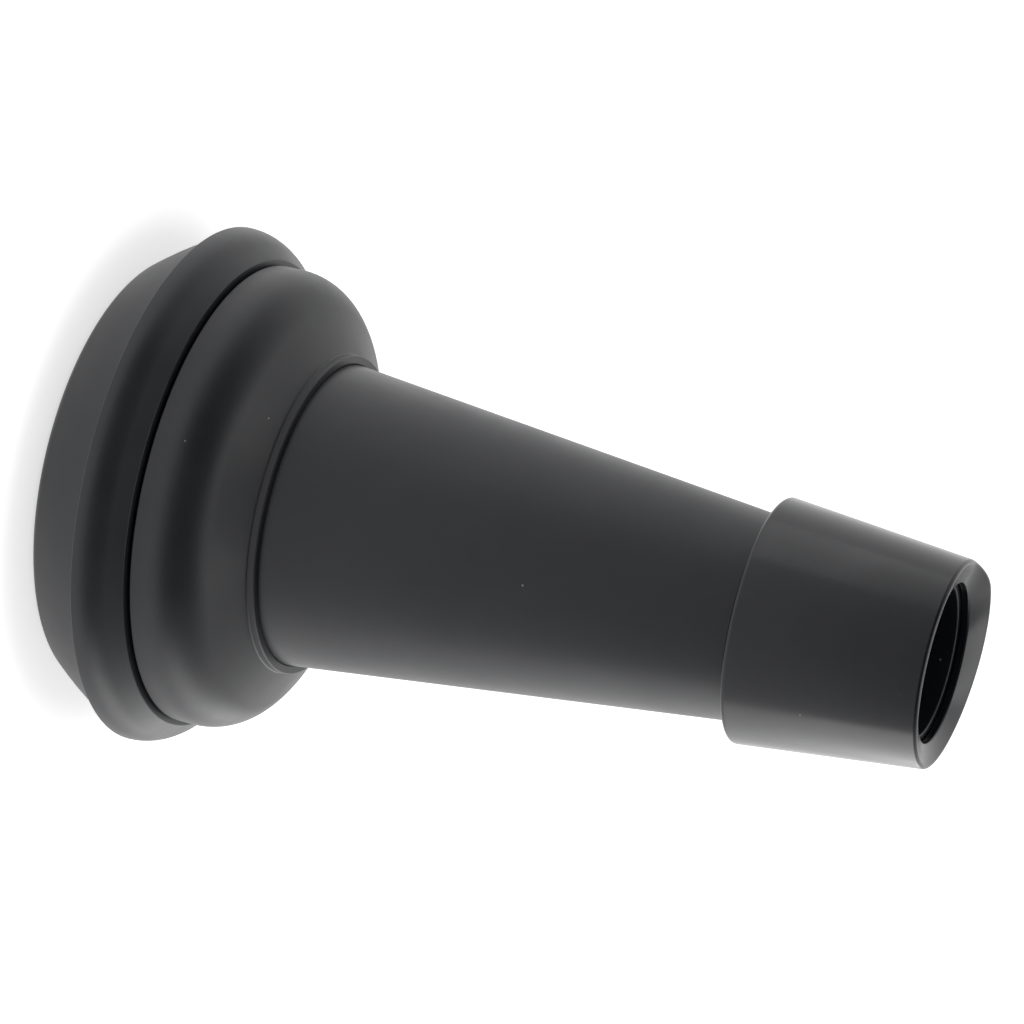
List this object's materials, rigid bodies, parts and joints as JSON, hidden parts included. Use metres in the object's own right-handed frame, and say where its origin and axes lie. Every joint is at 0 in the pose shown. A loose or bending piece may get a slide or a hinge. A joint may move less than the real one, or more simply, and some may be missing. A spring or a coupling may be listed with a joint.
{
  "type": "trumpet practice mute",
  "caption": "Hollow tapering brass-instrument practice mute with a rounded rimmed head, removable vented end cap and a slip-on rubber throat seal.",
  "frame": {"origin": "middle of the end cap's flat face, which the mute stands on; the bottom centre of its box", "axes": "+Z along the mute's axis towards the narrow open tip that goes into the bell; X and Y are any pair across it"},
  "size_m": [0.072, 0.072, 0.1179],
  "materials": {
    "cap_plastic": "fine matt charcoal",
    "ring_plastic": "fine matt charcoal",
    "shell_plastic": "fine matt charcoal",
    "cone_plastic": "fine matt charcoal",
    "seal_rubber": "smooth satin black",
    "ring_rubber": "black",
    "tube_metal": "plain drawn tube",
    "foam": "open-cell foam"
  },
  "bodies": {
    "cap": {"end_cap": "cap_plastic", "rim_ring": "ring_plastic", "vent_tube": "tube_metal", "foam_damper": "foam"},
    "mute_body": {"shoulder_shell": "shell_plastic", "cone_body": "cone_plastic", "cap_seal_ring": "ring_rubber"},
    "seal": {"bell_seal": "seal_rubber"}
  },
  "joints": [
    {"name": "cap_pull", "type": "slide", "parent": "cap", "child": "mute_body", "axis": [0, 0, 1], "range_m": [0, 0.03]},
    {"name": "seal_pull", "type": "slide", "parent": "mute_body", "child": "seal", "axis": [0, 0, 1], "range_m": [0, 0.03]}
  ]
}
